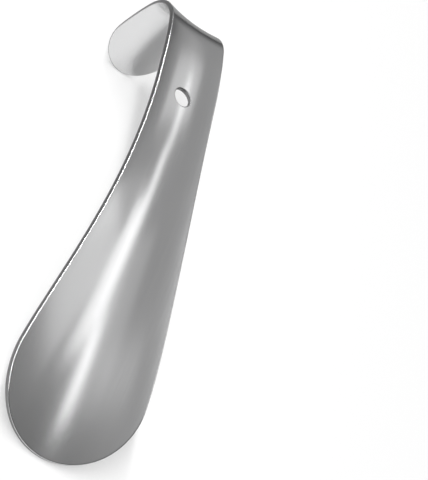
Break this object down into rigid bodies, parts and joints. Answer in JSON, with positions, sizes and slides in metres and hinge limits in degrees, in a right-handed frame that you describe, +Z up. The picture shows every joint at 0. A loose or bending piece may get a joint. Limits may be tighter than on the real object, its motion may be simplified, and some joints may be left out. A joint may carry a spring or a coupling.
{
  "type": "shoehorn",
  "caption": "Short shoehorn pressed from steel sheet: hollow heel blade with a round nose, tapering to a channel-shaped neck with a hanging hole and a bent hook.",
  "frame": {"origin": "on the table, under the middle of the shoehorn's length as it lies hollow face up", "axes": "+X from the nose towards the hook along the length, +Y across the blade, +Z up out of the hollow face"},
  "size_m": [0.1482, 0.0434, 0.0387],
  "materials": {
    "steel": "satin, finely brushed along its length"
  },
  "bodies": {
    "root": {"shoehorn": "steel"}
  },
  "joints": []
}
